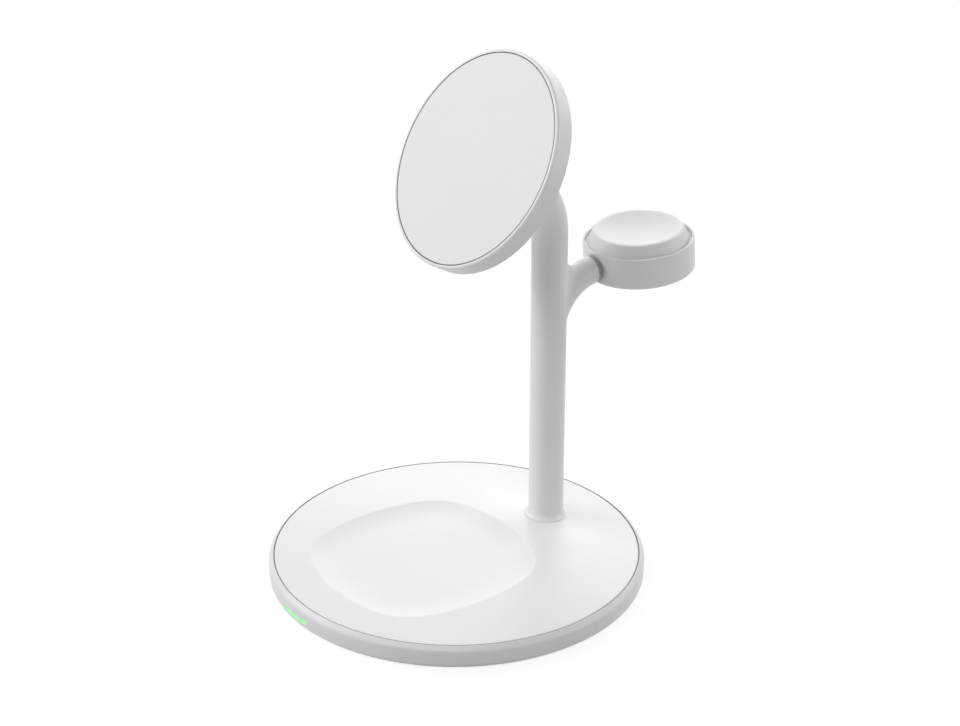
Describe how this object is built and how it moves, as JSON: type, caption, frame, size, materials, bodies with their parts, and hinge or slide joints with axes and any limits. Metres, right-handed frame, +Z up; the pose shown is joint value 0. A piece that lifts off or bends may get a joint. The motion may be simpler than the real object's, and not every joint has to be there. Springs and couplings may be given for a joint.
{
  "type": "three-in-one wireless charger",
  "caption": "White charging stand: round base with an earbud-case recess, a post with a tilting magnetic phone pad on its bent neck, and a rear arm with a swivelling dished watch cup.",
  "frame": {"origin": "on the table at the centre of the base, on the underside of the foot pad", "axes": "+Z up, -Y towards the front of the base where the light is, +X to the right seen from the front"},
  "size_m": [0.107, 0.1337, 0.1488],
  "materials": {
    "lid_plastic": "glossy white moulded lid",
    "body_plastic": "satin white moulded plastic",
    "stand_paint": "satin white paint on a metal casting",
    "pad_face": "fine matt pale grey face",
    "cap_plastic": "smooth white moulded cap",
    "foot_silicone": "matt pale grey silicone",
    "steel": "plain steel",
    "pivot_brass": "turned brass",
    "coil_copper": "enamelled copper winding",
    "ferrite": "dark sintered ferrite",
    "magnet": "nickel-plated magnet",
    "circuit_board": "green circuit board",
    "component": "black moulded component",
    "light": "green translucent light pipe",
    "inlet_black": "black moulded contact block",
    "collar_rubber": "dark grey rubber",
    "lead_sheath": "pale lead sheath"
  },
  "bodies": {
    "base": {"base_housing": "body_plastic", "top_cover": "lid_plastic", "foot_pad": "foot_silicone", "ballast_plate": "steel", "earbud_coil": "coil_copper", "earbud_ferrite": "ferrite", "main_board": "circuit_board", "board_components": "component", "board_screws": "steel", "power_inlet_shell": "steel", "power_inlet_tongue": "inlet_black", "led_light_pipe": "light", "led_board": "circuit_board", "led_chips": "light", "cover_screws": "steel", "stand_post": "stand_paint", "post_nut": "steel", "pad_lead": "lead_sheath", "watch_lead": "lead_sheath", "swivel_pivot": "pivot_brass", "swivel_collar": "collar_rubber", "swivel_washer": "steel", "swivel_clip": "steel"},
    "phone_pad": {"phone_pad_shell": "body_plastic", "phone_pad_face": "pad_face", "ring_magnets": "magnet", "magnet_yoke": "steel", "phone_coil": "coil_copper", "phone_ferrite": "ferrite", "pad_board": "circuit_board", "tilt_bracket": "stand_paint", "tilt_pin": "steel", "friction_washers": "steel", "bracket_screws": "steel"},
    "watch_head": {"watch_cup": "body_plastic", "watch_cap": "cap_plastic", "watch_coil": "coil_copper", "watch_ferrite": "ferrite", "watch_magnet": "magnet", "watch_board": "circuit_board"}
  },
  "joints": [
    {"name": "pad_tilt", "type": "hinge", "parent": "base", "child": "phone_pad", "pos_m": [0, 0.01652, 0.11647], "axis": [1, 0, 0], "range_deg": [-15, 30]},
    {"name": "watch_swivel", "type": "hinge", "parent": "base", "child": "watch_head", "pos_m": [0, 0.06397, 0.08247], "axis": [0, 0.9966, 0.0825], "range_deg": [-90, 90]}
  ]
}
